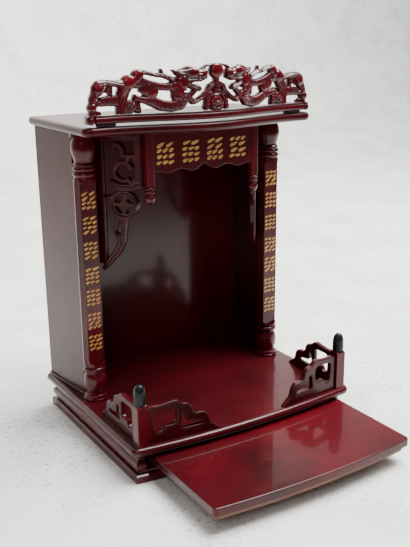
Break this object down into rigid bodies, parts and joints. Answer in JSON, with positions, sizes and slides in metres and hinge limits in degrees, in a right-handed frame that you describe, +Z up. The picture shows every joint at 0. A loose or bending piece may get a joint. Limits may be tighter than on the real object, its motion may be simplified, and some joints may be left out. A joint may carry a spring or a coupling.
{
  "type": "lacquered altar",
  "caption": "Tabletop household altar in deep red lacquer with turned columns, pierced brackets, a carved dragon crown, corner fences and a pull-out tray.",
  "frame": {"origin": "middle of the outline at rest, with the tray pulled out, on the surface that the plinth stands on", "axes": "+X to the right seen from the front, +Y to the back, +Z up; the tray pulls out towards -Y"},
  "size_m": [0.347, 0.436, 0.4999],
  "materials": {
    "lacquer_red": "high gloss cherry red lacquer",
    "lacquer_dark": "high gloss dark cherry lacquer",
    "raw_wood": "bare, thinly stained",
    "pad_black": "matt",
    "finial_green": "satin dark slate green paint"
  },
  "bodies": {
    "cabinet": {"base_board": "raw_wood", "bracket_left": "lacquer_dark", "bracket_right": "lacquer_dark", "column_left": "lacquer_red", "column_right": "lacquer_red", "crown": "lacquer_red", "crown_rail": "lacquer_red", "deck": "lacquer_red", "finial_left": "finial_green", "finial_right": "finial_green", "pad_left": "pad_black", "pad_right": "pad_black", "panel_back": "lacquer_dark", "panel_left": "lacquer_dark", "panel_right": "lacquer_dark", "pendant_left": "lacquer_red", "pendant_right": "lacquer_red", "plinth_back": "lacquer_dark", "plinth_front": "lacquer_dark", "plinth_left": "lacquer_dark", "plinth_right": "lacquer_dark", "post_left": "lacquer_red", "post_right": "lacquer_red", "top_board": "lacquer_red", "valance": "lacquer_red", "wing_front_left": "lacquer_dark", "wing_front_right": "lacquer_dark", "wing_side_left": "lacquer_dark", "wing_side_right": "lacquer_dark"},
    "tray": {"tray": "lacquer_red", "tray_wood": "raw_wood"}
  },
  "joints": [
    {"name": "tray_slide", "type": "slide", "parent": "cabinet", "child": "tray", "axis": [0, -1, 0], "range_m": [-0.1346, 0]}
  ]
}
